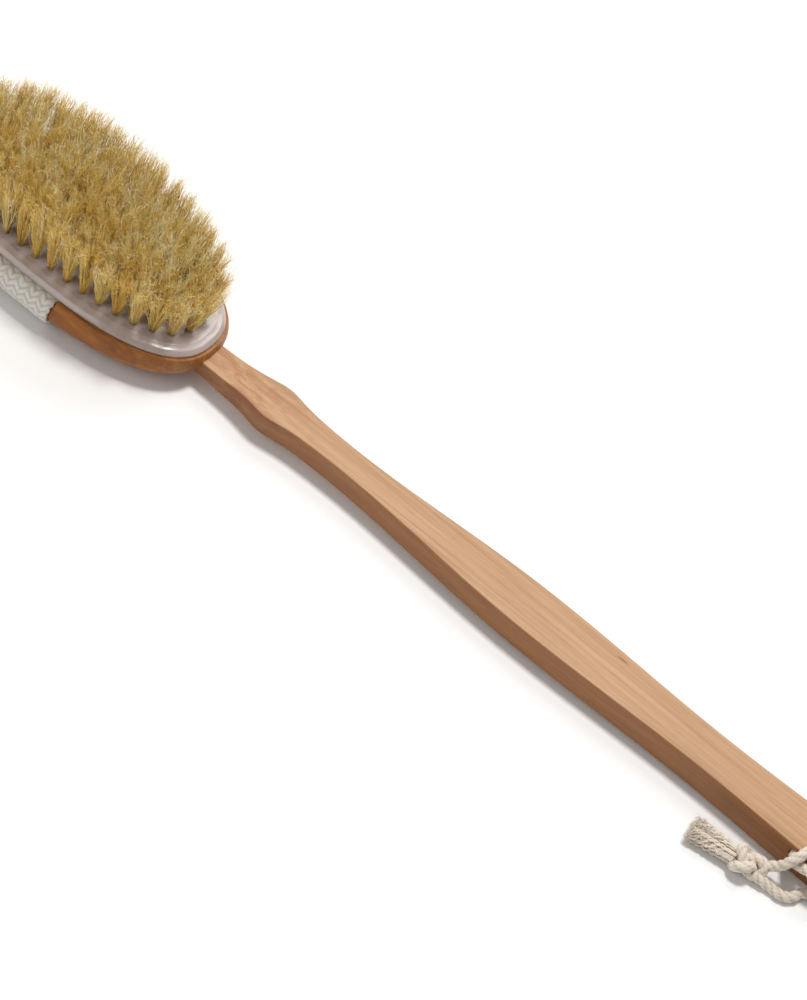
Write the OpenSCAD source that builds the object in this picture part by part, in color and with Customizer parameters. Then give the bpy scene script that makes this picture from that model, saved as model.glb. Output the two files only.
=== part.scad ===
// Long-handled body brush: a bristle head with an elastic hand strap, and a handle that pulls out of it.
// Frame: +X from the head to the handle's end, +Z up out of the bristles, origin on the floor under the middle.

/* [Head] */
// Length of the bristle plate
plate_len = 130; // [100:1:160]
// Width of the bristle plate
plate_w = 57.8; // [45:0.2:75]
// Thickness of the bristle plate
plate_t = 3.3; // [2.5:0.1:5]
// Height of the plate's underside above the floor
plate_z = 16; // [14:0.5:20]
// How square the oval outline is (2 is an ellipse)
oval_n = 2.5; // [2:0.1:4]
// Width of the sloping shoulder round the plate
shoulder_w = 3.75; // [2:0.25:6]

/* [Bristles] */
// Distance between the tufts of a row, and between the rows
tuft_pitch = 7.3; // [6:0.1:10]
// Distance from the plate's edge to the outer row
tuft_margin = 7.6; // [6:0.1:10]
// How much further in the rows of tufts stop at the head's two ends
tuft_end_gap = 1.5; // [0:0.5:5]
// Height of the bristles above the plate
bristle_h = 28.5; // [18:0.5:40]
// How much shorter the bristles at the head's two ends are
trim_drop = 9; // [0:0.5:12]
// Radius of a tuft where it enters the plate
tuft_r = 1.5; // [1.2:0.05:2]
// Radius of a tuft at its tips
tuft_tip_r = 3.2; // [2:0.1:3.5]
// Outward lean of the outer row along the head's long sides, in degrees
side_lean = 14; // [0:0.5:20]
// Outward lean of the outer row at the head's two ends, in degrees
end_lean = 3; // [0:0.5:12]

/* [Strap] */
// Width of the hand strap
strap_w = 28; // [20:1:40]
// Thickness of the hand strap
strap_t = 1.7; // [1:0.1:3]

/* [Handle] */
// X of the handle's end, counted from the middle of the head
handle_reach = 373; // [250:1:420]
// Width of the tongue that plugs into the head
tongue_w = 12.6; // [10:0.1:16]
// Thickness of the tongue
tongue_t = 7.1; // [5:0.1:9]
// Length of the tongue inside the head
tongue_len = 56; // [30:1:60]
// Extra width of the shoulder near the head
bump_w = 6; // [0:0.5:10]
// Width of the grip at its widest
grip_w = 22; // [18:0.5:30]
// Width of the waist between the grip and the end
waist_w = 18.3; // [14:0.1:24]
// Width near the end
end_w = 21; // [16:0.5:28]
// Radius of the long edges
edge_r = 0.8; // [0.5:0.1:3]

/* [Cord] */
// Diameter of the hanging cord
cord_d = 4.2; // [3:0.1:5]
// Diameter of the hole for the cord
cord_hole_d = 5.2; // [4.5:0.1:7]

/* [Hidden] */
$fn = 24;
fit = 0.05; // clearance of a pin in its hole, and of the tongue on each side
loose = 0.2; // clearance of a blind end or a soft edge
eps = 0.1; // how far a cutter reaches past the face it cuts

plate_a = plate_len / 2;
plate_b = plate_w / 2;
oval_steps = 72;

// Wood block: height, and how far the outline is outside the plate's, along X and along Y
wood_rings = [[1.8, -18, -8], [2.3, -13, -4.4], [3.2, -9, -1.6], [5, -4, 1], [8, 0.5, 2.8], [10.5, 2, 3],
    [13, 2, 2.4], [15.2, 1.6, 1.6], [plate_z, 1.2, 1.2]];
wood_reach = max([for (r = wood_rings) r[1]]);
head_x = -(handle_reach - plate_a - wood_reach) / 2; // middle of the head

// Plate: height above its underside, and inset of the outline
plate_rings = [[0, 0.2], [0.3, 0], [1.1, 0], [2.5, 1.5], [plate_t, shoulder_w]];
tuft_hole_depth = 2.4;
plate_top_z = plate_z + plate_t;
tuft_root_z = plate_top_z - tuft_hole_depth;
centre_gap = 3.5; // how much further the centre row's ends stay from the row round it
// Half length of the centre row
centre_half = plate_a - tuft_margin - tuft_end_gap - 3 * tuft_pitch - centre_gap;
centre_count = 1 + 2 * floor(centre_half / tuft_pitch);
anchor_t = 0.3;
anchor_w = 2.2;
anchor_h = 1.2;
lean_shares = [1, 0.6, 0.3, 0]; // lean of each row, as a share of the outer row's

// Pins that locate the plate on the wood
pin_r = 0.9;
pin_depth = 6;
pin_in_plate = 1.2;
pin_at = [45, 11.8];

// Strap ends, held in recesses under the plate
flap_in = 22; // Y where a strap end stops
flap_z = plate_z - strap_t - fit;
tack_at = [7, 25.5];
tack_r = 0.8;
tack_head_r = 1.7;
tack_head_t = 0.6;
tack_depth = 6;

// Handle stations
neck_x = 68; // where the tongue ends
bump_x = 97;
bump_reach = 9.6;
thin_x = 124;
grip_x = 222;
waist_x = 300;
end_x = handle_reach - 12; // where the end starts to round off
neck_w = 12.1;
thin_w = 11.8;
tongue_z = 12.7; // top of the tongue
shoulder_z = 14.2; // top of the handle at the shoulder
tail_z = 13.6; // top of the handle at its end
shoulder_x = 95;
thick_table = [[neck_x, tongue_t], [95, 9.5], [150, 10.5], [240, 11.5], [350, 13.2], [end_x, tail_z]];
station_step = 6;
end_steps = 7;
end_turn = 84; // how far round its quarter circle the end goes before it is cut flat
end_square = 0.8; // below 1, the end is squarer than a half circle
end_drop = 3; // how much thinner the end is on each side
corner_steps = 3;
hole_x = 345;
hole_z = 9.6;

// Cord: centreline from the knot over the handle, through its hole and back along the floor
cord_route = [[186.5, -18.9, 5.6], [188.5, -18.2, 7], [190.5, -17.7, 9], [192.3, -16.9, 12.6],
    [193.8, -14.7, 15.4], [195, -11, 16.3], [197, -5, 15.9], [200.5, 2, 15.8], [204, 7.5, 15.8],
    [206.5, 12, 15.4], [208, 17, 12.5], [207, 22.5, 8], [203.5, 26.5, 4], [198.5, 27, 2.6],
    [194, 23.5, 4], [192.2, 18.5, 7.2], [192, 14, 9.2], [192, 9, 9.6], [192, 0, 9.6], [192, -9, 9.6],
    [192.7, -12, 9.9], [195.2, -13.8, 10.8], [199, -13.9, 11.8], [203.5, -13.9, 12],
    [207.5, -14, 10.8], [210, -14.1, 8], [209.8, -14.3, 5], [207.3, -14.3, 2.8], [203.8, -14.6, 2.3],
    [201.6, -17, 2.3], [200.3, -20.3, 2.3], [197, -22.4, 2.3], [192.5, -22.6, 2.3], [187, -23.6, 3.5]];
cord_sides = 8;
// Knot and tails: X, Y and Z of the middle, then half width and half height
knot_rings = [[173, -23.6, 4.1, 2.8, 2.6], [174.2, -23.4, 4.6, 4.2, 4.1], [177, -23, 4.9, 5.1, 4.8],
    [180, -22.4, 4.9, 4.8, 4.6], [183, -22, 4.9, 5.2, 4.8], [186, -21.5, 4.7, 4.9, 4.5],
    [188, -21.2, 4.5, 3.9, 3.6], [188.8, -21.1, 4.4, 2.2, 2]];
tail_rings = [[157, -24.6, 3, 3.6, 2.2], [158.5, -24.5, 3.2, 4.6, 2.9], [162, -24.4, 3.3, 4.6, 3],
    [167, -24, 3.4, 3.8, 2.9], [171, -23.8, 3.7, 3.1, 2.8], [173, -23.6, 4.1, 2.8, 2.6]];
soft_sides = 16;

// A closed solid through a list of rings that all have the same number of points
module loft(rings) {
    count = len(rings[0]);
    last = len(rings) - 1;
    points = [for (r = rings) each r];
    sides = [for (i = [0 : last - 1], j = [0 : count - 1])
        let (a = i * count + j, b = i * count + (j + 1) % count, c = b + count, d = a + count)
            each [[a, c, b], [a, d, c]]];
    first_end = [for (j = [0 : count - 1]) j];
    last_end = [for (j = [count - 1 : -1 : 0]) last * count + j];
    polyhedron(points = points, faces = concat(sides, [first_end, last_end]));
}

function signed_power(v, p) = sign(v) * pow(abs(v), p);
function oval_point(a, b, t) =
    [a * signed_power(cos(t), 2 / oval_n), b * signed_power(sin(t), 2 / oval_n)];
function oval_normal(a, b, p) = atan2(signed_power(p[1] / b, oval_n - 1) / b,
    signed_power(p[0] / a, oval_n - 1) / a);
function oval_ring(a, b, z) = [for (i = [0 : oval_steps - 1])
    let (p = oval_point(a, b, 360 * i / oval_steps)) [p[0], p[1], z]];

// Distance travelled round an oval against the angle that places each of its points
function oval_table(a, b, steps = 360) =
    let (p = [for (i = [0 : steps + 1]) oval_point(a, b, 360 * i / steps)])
    [for (i = 0, s = 0; i <= steps; s = s + norm(p[i + 1] - p[i]), i = i + 1) [s, 360 * i / steps]];

// Places of one row of tufts: X, Y and the direction that it leans in
function tuft_row(row) =
    let (a = plate_a - tuft_margin - tuft_end_gap - row * tuft_pitch)
    let (b = plate_b - tuft_margin - row * tuft_pitch)
    let (table = oval_table(a, b), round_len = table[len(table) - 1][0])
    let (count = round(round_len / tuft_pitch))
    [for (i = [0 : count - 1])
        let (p = oval_point(a, b, lookup(round_len * (i + 0.5) / count, table)))
        [p[0], p[1], oval_normal(a, b, p)]];
function centre_row() = [for (i = [0 : centre_count - 1])
    [centre_half * (2 * i / (centre_count - 1) - 1), 0, 0]];
rows = [tuft_row(0), tuft_row(1), tuft_row(2), centre_row()];

// Children can read the tuft's own direction as $toward and its height above the plate as $height
module at_tufts(row) {
    for (t = row) {
        translate([head_x + t[0], t[1], tuft_root_z])
            rotate([0, 0, t[2]])
                let ($toward = t[2], $height = bristle_h - trim_drop * pow(t[0] / plate_a, 2))
                    children();
    }
}

module anchor_shape(gap) {
    translate([-anchor_t / 2 - gap, -anchor_w / 2 - gap, 0])
        cube([anchor_t + 2 * gap, anchor_w + 2 * gap, anchor_h + gap]);
}

// Slope of a tuft along X and Y, from the direction that it faces and its row's share of the lean
function slope(toward, share) = [cos(toward) * tan(end_lean * share), sin(toward) * tan(side_lean * share)];

// The part of a tuft above the plate
module tuft_cone(toward, height, share) {
    tilt = slope(toward, share);
    lean = atan(norm(tilt));
    rotate([0, 0, atan2(tilt[1], tilt[0]) - toward])
        rotate([0, lean, 0])
            cylinder(h = height / cos(lean), r1 = tuft_r - loose, r2 = tuft_tip_r);
}

module tufts(index) {
    at_tufts(rows[index])
        difference() {
            union() {
                cylinder(h = tuft_hole_depth + loose, r = tuft_r);
                translate([0, 0, tuft_hole_depth])
                    tuft_cone($toward, $height, lean_shares[index]);
            }
            anchor_shape(fit);
        }
}

module both_ways(at) {
    for (x = [-1, 1], y = [-1, 1]) {
        translate([head_x + x * at[0], y * at[1], 0])
            children();
    }
}

module pins(r) {
    both_ways(pin_at)
        translate([0, 0, plate_z - pin_depth])
            cylinder(h = pin_depth + pin_in_plate, r = r);
}

module tacks(gap) {
    both_ways(tack_at) {
        translate([0, 0, plate_z - fit - strap_t - tack_depth])
            cylinder(h = tack_depth + strap_t, r = tack_r + gap);
        translate([0, 0, plate_z - fit - tack_head_t])
            cylinder(h = tack_head_t, r = tack_head_r + gap);
    }
}

module across(w) {
    translate([head_x - w / 2, 0, 0])
        rotate([90, 0, 90])
            linear_extrude(w)
                children();
}

module flap_section(gap) {
    for (side = [-1, 1]) {
        translate([side > 0 ? flap_in - gap : -plate_b - 2 * strap_t, flap_z - gap])
            square([plate_b + 2 * strap_t - flap_in + gap, strap_t + gap]);
    }
}

module wood_section() {
    polygon(concat([for (r = wood_rings) [plate_b + r[2], r[0]]],
        [for (i = [len(wood_rings) - 1 : -1 : 0]) [-plate_b - wood_rings[i][2], wood_rings[i][0]]]));
}

module wood_block() {
    color([0.62, 0.36, 0.19])
        difference() {
            translate([head_x, 0, 0])
                loft([for (r = wood_rings) oval_ring(plate_a + r[1], plate_b + r[2], r[0])]);
            translate([head_x + neck_x - tongue_len - loose, -tongue_w / 2 - fit, tongue_z - tongue_t - fit])
                cube([tongue_len + loose, tongue_w + 2 * fit, tongue_t + 2 * fit]);
            across(strap_w + 2 * loose)
                translate([0, eps])
                    flap_section(fit + eps);
            pins(pin_r + fit);
            tacks(fit);
        }
}

module bristle_plate() {
    color([0.80, 0.77, 0.79])
        difference() {
            translate([head_x, 0, plate_z])
                loft([for (r = plate_rings) oval_ring(plate_a - r[1], plate_b - r[1], r[0])]);
            for (row = rows) {
                at_tufts(row)
                    cylinder(h = tuft_hole_depth + eps, r = tuft_r + fit);
            }
            pins(pin_r + fit);
        }
}

module plate_pins() {
    color([0.75, 0.73, 0.72])
        pins(pin_r);
}

module tufts_outer() {
    color([0.80, 0.69, 0.47])
        tufts(0);
}

module tufts_middle() {
    color([0.78, 0.66, 0.44])
        tufts(1);
}

module tufts_inner() {
    color([0.76, 0.64, 0.42])
        tufts(2);
}

module tufts_centre() {
    color([0.74, 0.62, 0.40])
        tufts(3);
}

module tuft_anchors() {
    color([0.72, 0.72, 0.74])
        for (row = rows) {
            at_tufts(row)
                anchor_shape(0);
        }
}

module hand_strap() {
    color([0.87, 0.85, 0.78])
        difference() {
            across(strap_w) {
                difference() {
                    offset(r = strap_t + eps)
                        wood_section();
                    offset(r = eps)
                        wood_section();
                    translate([-plate_w, plate_z - fit])
                        square([2 * plate_w, plate_w]);
                }
                intersection() {
                    flap_section(0);
                    offset(r = strap_t + eps)
                        wood_section();
                }
            }
            tacks(fit);
        }
}

module strap_tacks() {
    color([0.70, 0.70, 0.72])
        tacks(0);
}

function ease(t) = (1 - cos(180 * t)) / 2;
function between(x, x0, x1, v0, v1) = v0 + (v1 - v0) * ease((x - x0) / (x1 - x0));
function handle_base(x) =
    x < thin_x ? between(max(x, neck_x), neck_x, thin_x, neck_w, thin_w) :
    x < grip_x ? between(x, thin_x, grip_x, thin_w, grip_w) :
    x < waist_x ? between(x, grip_x, waist_x, grip_w, waist_w) :
    between(min(x, end_x), waist_x, end_x, waist_w, end_w);
function handle_width(x) = x <= neck_x ? tongue_w :
    handle_base(x) + bump_w / (1 + pow((x - bump_x) / bump_reach, 2));
function handle_top(x) = x < shoulder_x ?
    between(max(x, neck_x + 2), neck_x + 2, shoulder_x, tongue_z, shoulder_z) :
    shoulder_z + (tail_z - shoulder_z) * (x - shoulder_x) / (handle_reach - shoulder_x);
function handle_thick(x) = lookup(x, thick_table);

// A rounded rectangle across the handle, from its half width and its heights
function handle_ring(x, w, low, high) =
    let (r = min(edge_r, w * 0.9, (high - low) * 0.45), mid = (low + high) / 2)
    [for (q = [0 : 3], i = [0 : corner_steps])
        let (turn = 90 * (q + i / corner_steps))
        let (cy = (q == 0 || q == 3 ? 1 : -1) * (w - r), cz = (q < 2 ? 1 : -1) * ((high - low) / 2 - r))
        [head_x + x, cy + r * cos(turn), mid + cz + r * sin(turn)]];
function station(x, narrow = 1, flat = 0) = handle_ring(x, narrow * handle_width(x) / 2,
    handle_top(x) - handle_thick(x) + flat, handle_top(x) - flat);
body_steps = ceil((end_x - neck_x) / station_step);
handle_stations = concat(
    [station(neck_x - tongue_len), station(neck_x)],
    [for (i = [1 : body_steps]) station(neck_x + (end_x - neck_x) * i / body_steps)],
    [for (i = [1 : end_steps])
        let (turn = end_turn * i / end_steps)
        station(end_x + (handle_reach - end_x) * sin(turn) / sin(end_turn), pow(cos(turn), end_square),
            end_drop * pow(i / end_steps, 3))]);

module handle() {
    color([0.82, 0.63, 0.48])
        difference() {
            loft(handle_stations);
            translate([head_x + hole_x, 0, hole_z])
                rotate([90, 0, 0])
                    cylinder(h = 2 * end_w, d = cord_hole_d, center = true);
        }
}

function unit(v) = v / norm(v);
function heading(i) = let (last = len(cord_route) - 1)
    unit(cord_route[min(i + 1, last)] - cord_route[max(i - 1, 0)]);
// The sides of the tube keep their direction from one ring to the next, so the tube never twists
function carried(v, along) = unit(v - (v * along) * along);
function side_of(i) = i == 0 ? carried([0, 0, 1], heading(0)) : carried(side_of(i - 1), heading(i));

module hang_cord() {
    sides = [for (i = [0 : len(cord_route) - 1]) side_of(i)];
    color([0.90, 0.87, 0.79])
        loft([for (i = [0 : len(cord_route) - 1])
            let (u = sides[i], v = cross(heading(i), u))
            [for (j = [0 : cord_sides - 1])
                let (turn = 360 * j / cord_sides)
                cord_route[i] + cord_d / 2 * (cos(turn) * u + sin(turn) * v)]]);
}

module soft_loft(rings) {
    loft([for (r = rings) [for (j = [0 : soft_sides - 1])
        let (turn = 360 * j / soft_sides)
        [r[0], r[1] + r[3] * cos(turn), r[2] + r[4] * sin(turn)]]]);
}

module cord_knot() {
    color([0.90, 0.87, 0.79])
        soft_loft(knot_rings);
}

module cord_tails() {
    color([0.90, 0.87, 0.79])
        soft_loft(tail_rings);
}

wood_block();
bristle_plate();
plate_pins();
tufts_outer();
tufts_middle();
tufts_inner();
tufts_centre();
tuft_anchors();
hand_strap();
strap_tacks();
handle();
hang_cord();
cord_knot();
cord_tails();
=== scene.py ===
import math

import bpy
import numpy as np
from mathutils import Matrix, Vector


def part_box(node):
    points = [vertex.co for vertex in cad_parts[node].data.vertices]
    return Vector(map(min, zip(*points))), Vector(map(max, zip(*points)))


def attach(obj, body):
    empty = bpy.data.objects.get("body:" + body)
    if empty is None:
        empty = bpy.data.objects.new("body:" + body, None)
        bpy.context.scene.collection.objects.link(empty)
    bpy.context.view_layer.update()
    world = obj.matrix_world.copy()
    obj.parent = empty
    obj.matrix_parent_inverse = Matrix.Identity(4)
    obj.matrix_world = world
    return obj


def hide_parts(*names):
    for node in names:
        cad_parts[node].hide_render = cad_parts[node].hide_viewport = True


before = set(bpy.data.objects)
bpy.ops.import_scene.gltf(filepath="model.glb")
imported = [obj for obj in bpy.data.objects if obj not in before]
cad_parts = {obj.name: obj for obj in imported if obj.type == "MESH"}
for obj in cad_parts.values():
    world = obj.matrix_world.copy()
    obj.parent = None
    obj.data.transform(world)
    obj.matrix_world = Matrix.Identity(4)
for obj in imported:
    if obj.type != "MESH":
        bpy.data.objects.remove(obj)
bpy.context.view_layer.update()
MM = 0.001
RANDOM = np.random.default_rng(7)

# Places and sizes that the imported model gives
PLATE_LOW, PLATE_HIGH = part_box("bristle_plate")
STRAP_LOW, STRAP_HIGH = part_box("hand_strap")
HEAD_X = (PLATE_LOW.x + PLATE_HIGH.x) / 2
PLATE_A = (PLATE_HIGH.x - PLATE_LOW.x) / 2
PLATE_B = (PLATE_HIGH.y - PLATE_LOW.y) / 2
PLATE_Z = PLATE_LOW.z
PLATE_TOP = PLATE_HIGH.z
STRAP_W = STRAP_HIGH.x - STRAP_LOW.x
HANDLE_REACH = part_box("handle")[1].x - HEAD_X
OVAL_N = 2.5  # power of the head's superellipse
SHARP_ANGLE = 35  # degrees

# Camera: the way the brush is seen, tilted so that its handle runs down to the right
VIEW_AZIMUTH = 13.8
VIEW_ELEVATION = 50.0
VIEW_ROLL = 28.0
VIEW_DISTANCE = 1.4
VIEW_TARGET = Vector((-2.6, 22.4, -11.9)) * MM
LENS = 90.4
ROOM_LIGHT = 0.28
FLOOR_REACH, FLOOR_STEPS = 6.0, 25

# Cord: centreline from the knot over the handle, through its hole and back along the floor, in mm
CORD_D = 4.2 * MM
CORD_ROUTE = [
    (183.5, -20.6, 5), (186.5, -18.9, 5.6), (188.5, -18.2, 7), (190.5, -17.7, 9), (192.3, -16.9, 12.6),
    (193.8, -14.7, 15.4), (195, -11, 16.3), (197, -5, 15.9), (200.5, 2, 15.8), (204, 7.5, 15.8),
    (206.5, 12, 15.4), (208, 17, 12.5), (207, 22.5, 8), (203.5, 26.5, 4), (198.5, 27, 2.6),
    (194, 23.5, 4), (192.2, 18.5, 7.2), (192, 14, 9.2), (192, 9, 9.6), (192, 0, 9.6), (192, -9, 9.6),
    (192.7, -12, 9.9), (195.2, -13.8, 10.8), (199, -13.9, 11.8), (203.5, -13.9, 12),
    (207.5, -14, 10.8), (210, -14.1, 8), (209.8, -14.3, 5), (207.3, -14.3, 2.8), (203.8, -14.6, 2.3),
    (201.6, -17, 2.3), (200.3, -20.3, 2.3), (197, -22.4, 2.3), (192.5, -22.6, 2.3), (187, -23.6, 3.5),
    (184, -23.2, 4.2),
]
ROPE_STEP = 0.45 * MM
RIBS, RIB_PITCH, RIB_DEPTH = 8, 3.2 * MM, 0.07  # the yarns that show on each strand
HOLE_X = 345
HOLE_Z = 9.6
HOLE_R = 2.6

# Knot and frayed tails, in mm
KNOT_START = np.array((173.5, -23.5, 4.9))
KNOT_END = np.array((188.2, -21.2, 4.9))
KNOT_R, KNOT_TURN = 2.15, 1.96 * np.pi
KNOT_SIZE = (2.0, 1.65, 2.1)  # along the knot, beside it and up
TAIL_END = np.array((157.5, -24.5, 3.4))
TAIL_ROOT = (1.7, 1.9, 2.4, -0.4)  # each tail's middle to one side, half its width and height, middle height
TAIL_TIP = (2.2, 2.6, 2.7, -0.2)
FUZZ_ROOT, FUZZ_TIP = 1.4, (2.2, 3.0, 3.0, -0.1)
YARNS, YARN_R, YARN_CURL, YARN_SIDES = 40, 0.39, 0.45, 8
FUZZ, FUZZ_R, FUZZ_CURL, FUZZ_SIDES = 110, 0.085, 0.9, 4
KNOT_CLEAR, TAIL_CLEAR = 0.05, 0.08  # least height over the floor

# Wood block: height, and how far the outline is outside the plate's, along X and along Y, in mm
WOOD_RINGS = [
    (1.8, -18, -8), (2.3, -13, -4.4), (3.2, -9, -1.6), (5, -4, 1), (8, 0.5, 2.8), (10.5, 2, 3),
    (13, 2, 2.4), (15.2, 1.6, 1.6), (16, 1.2, 1.2),
]
PLATE_RINGS = [(0, 0.2), (0.3, 0), (1.1, 0), (2.5, 1.5), (3.3, 3.75)]  # height and inset, in mm
COLLAR_H, COLLAR_R, COLLAR_W = 0.16, 2.1, 0.55  # raised ring round each tuft
DIP, DIP_FROM, DIP_OVER = 0.22, 4.2, 3  # how the plate sinks away from the tufts

# Strap, in mm: its seat between plate and wood, its thickness and its stitches
SEAT_Y, SEAT_Z, SEATED_Z = 22, 14.1, 15.1
STRAP_T, STRAP_GAP = 1.7, 0.1
STITCH_LEN, STITCH_COLUMN, STITCH_H = 2.9, 5.2, 0.42
RAGGED = 0.55  # how far the strap's edges dip between stitches

# Bristles, in mm and degrees
TUFT_PITCH = 7.3
TUFT_MARGIN, TUFT_END_GAP = 7.6, 1.5
BRISTLE_H, TRIM_DROP, TRIM_PEAK = 28.8, 7.5, -15
ROW_LEANS = ((3, 10), (1.8, 6), (0.9, 3), (0, 0))
CENTRE_GAP = 3.5
ROOT_R, FAN_R, FAN_EASE, CLUMPING = 1.05, 5.1, 1.1, 0.6
HAIRS, WISPS, CLUMPS = 180, 210, 9
DRIFT, STRAY_SHARE, STRAY_DRIFT = 0.4, 0.1, 1.6  # how far hairs leave their place in the tuft
TIP_ROUND, HAIR_UNEVEN, TUFT_UNEVEN = 3.0, 0.8, 0.7  # how heights differ in a tuft and between tufts
SHORT_SHARE, SHORTER_BY, SHORTEST = 0.2, 5, 15
SWAY, CURL, FRAY = 0.4, 0.8, 1.6
FORK_HIGH, FORK_SHARE = 4, 0.55  # the ring of a hair that most split ends reach
TONE_MIDDLE, TONE_CLUMP, TONE_HAIR, BLACK_SHARE = 0.52, 0.15, 0.18, 0.01  # from 0 to 1
HAIR_RADII = (0.09, 0.09, 0.09, 0.08, 0.03)
WISP_RADII = (0.05, 0.045, 0.018)

# Handle, in mm from the middle of the head
TONGUE_W, TONGUE_T, TONGUE_LEN, TONGUE_Z = 12.6, 7.1, 56, 12.7
NECK_X, BUMP_X, THIN_X, GRIP_X, WAIST_X = 68, 97, 124, 222, 300
END_X = HANDLE_REACH / MM - 12
NECK_W, THIN_W, GRIP_W, WAIST_W, END_W = 12.1, 11.8, 22, 18.3, 21
BUMP_W, BUMP_REACH = 6, 9.6
SHOULDER_X, SHOULDER_Z, TAIL_Z = 95, 14.2, 13.6
THICK_X = (NECK_X, 95, 150, 240, 350, END_X)
THICK = (TONGUE_T, 9.5, 10.5, 11.5, 13.2, TAIL_Z)
EDGE_R = 0.8
BODY_STEP, END_STEPS, END_ARC, END_DROP = 1.5, 16, 84, 3  # rings along the body and round the end
MARK = (0.1008, 0.007, 0.0139)  # a small dark fleck on the grip, in metres
MARK_SCALE = (380, 2600, 900)  # its size along each axis is one over this
MARK_COLOUR = (0.12, 0.05, 0.02)
FIT = 0.05  # gap between the tongue and its socket


# ---------------------------------------------------------------- meshes

def mesh_object(name, points, faces):
    """A smooth-shaded mesh object from an array of points and a list of faces."""
    mesh = bpy.data.meshes.new(name)
    mesh.from_pydata(np.asarray(points, float).tolist(), [], faces)
    mesh.update()
    mesh.polygons.foreach_set("use_smooth", [True] * len(mesh.polygons))
    ob = bpy.data.objects.new(name, mesh)
    bpy.context.scene.collection.objects.link(ob)
    return ob


def ring_faces(rings, sides, start=0):
    """Faces of a tube of so many rings, with flat ends."""
    i, j = np.meshgrid(np.arange(rings - 1), np.arange(sides), indexing="ij")
    a = start + i * sides + j
    b = start + i * sides + (j + 1) % sides
    faces = np.stack([a, b, b + sides, a + sides], -1).reshape(-1, 4).tolist()
    faces.append([start + k for k in range(sides - 1, -1, -1)])
    faces.append([start + (rings - 1) * sides + k for k in range(sides)])
    return faces


def loft(name, rings):
    """A closed solid through rings that have the same number of points."""
    rings = np.asarray(rings, float)
    return mesh_object(name, rings.reshape(-1, 3), ring_faces(rings.shape[0], rings.shape[1]))


def run_along(line):
    """How far along a line each of its points is."""
    return np.concatenate([[0], np.cumsum(np.linalg.norm(np.diff(line, axis=0), axis=1))])


def flow(points, count, passes=0):
    """Points spaced evenly along a line through the given ones, then softened so many times."""
    points = np.asarray(points, float)
    at = run_along(points)
    want = np.linspace(0, at[-1], count)
    line = np.stack([np.interp(want, at, points[:, k]) for k in range(points.shape[1])], -1)
    for _ in range(passes):
        line[1:-1] = (line[:-2] + 2 * line[1:-1] + line[2:]) / 4
    return line


def curve_through(points, step):
    """A smooth curve that passes through the points, with a point every step."""
    p = np.asarray(points, float)
    p = np.vstack([2 * p[0] - p[1], p, 2 * p[-1] - p[-2]])
    t = np.linspace(0, 1, 12, endpoint=False)[:, None]
    line = [
        0.5 * (2 * b + (c - a) * t + (2 * a - 5 * b + 4 * c - d) * t**2 + (3 * b - a - 3 * c + d) * t**3)
        for a, b, c, d in zip(p, p[1:], p[2:], p[3:])
    ]
    line = np.vstack(line + [p[-2][None]])
    return flow(line, max(3, int(round(run_along(line)[-1] / step)) + 1))


def frames_along(line):
    """Two directions square to a line at each of its points, that never twist."""
    ahead = np.gradient(line, axis=0)
    ahead /= np.linalg.norm(ahead, axis=1)[:, None]
    across = np.zeros_like(line)
    first = np.cross(ahead[0], (0, 0, 1)) if abs(ahead[0][2]) < 0.9 else np.cross(ahead[0], (1, 0, 0))
    across[0] = first / np.linalg.norm(first)
    for i in range(1, len(line)):
        v = across[i - 1] - ahead[i] * (across[i - 1] @ ahead[i])
        across[i] = v / np.linalg.norm(v)
    return ahead, across, np.cross(ahead, across)


def rope(line, radius, strands=3, pitch=10 * MM, sides=48, groove=0.2):
    """Rings of a twisted rope along a line, and how deep in a groove each point is, from 0 to 1."""
    ahead, across, up = frames_along(line)
    run = run_along(line)
    turn = np.linspace(0, 2 * np.pi, sides, endpoint=False)[None]
    phase = turn - 2 * np.pi * run[:, None] / pitch
    lobes = np.abs(np.cos(phase * strands / 2)) ** 0.55
    ribs = 0.5 + 0.5 * np.cos(RIBS * turn + 2 * np.pi * run[:, None] / RIB_PITCH)
    r = radius * (1 - groove * (1 - lobes) - RIB_DEPTH * (1 - ribs))
    left = np.minimum(run, run[-1] - run)[:, None] / radius
    r = r * np.sqrt(np.clip(1 - (1 - np.clip(left, 0.02, 1)) ** 2, 0, 1))
    rings = (line[:, None] + r[..., None] * (np.cos(turn)[..., None] * across[:, None]
                                             + np.sin(turn)[..., None] * up[:, None]))
    return rings, np.clip(0.8 * (1 - lobes) ** 1.2 + 0.3 * (1 - ribs), 0, 1)


def give_hollow(ob, hollow):
    """Stores how deep between strands each point of a mesh is, which its material uses for painted shade."""
    ob.data.attributes.new("hollow", "FLOAT", "POINT").data.foreach_set("value", np.ravel(hollow))


def cut(ob, cutters):
    """Cuts closed solids out of an object, applies the cut, and keeps its sharp edges."""
    for cutter in cutters:
        hole = ob.modifiers.new("hole", "BOOLEAN")
        hole.operation = "DIFFERENCE"
        hole.solver = "EXACT"
        hole.object = cutter
    bpy.context.view_layer.update()
    done = bpy.data.meshes.new_from_object(ob.evaluated_get(bpy.context.evaluated_depsgraph_get()))
    ob.modifiers.clear()
    ob.data = done
    done.set_sharp_from_angle(angle=math.radians(SHARP_ANGLE))
    for cutter in cutters:
        bpy.data.objects.remove(cutter)


def box_solid(low, high):
    """A closed box between two corners, in mm, for cutting."""
    x, y, z = zip(low, high)
    ring = [(x[0], y[0]), (x[1], y[0]), (x[1], y[1]), (x[0], y[1])]
    return loft("cutter", [[(a * MM, b * MM, c * MM) for a, b in ring] for c in z])


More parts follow.
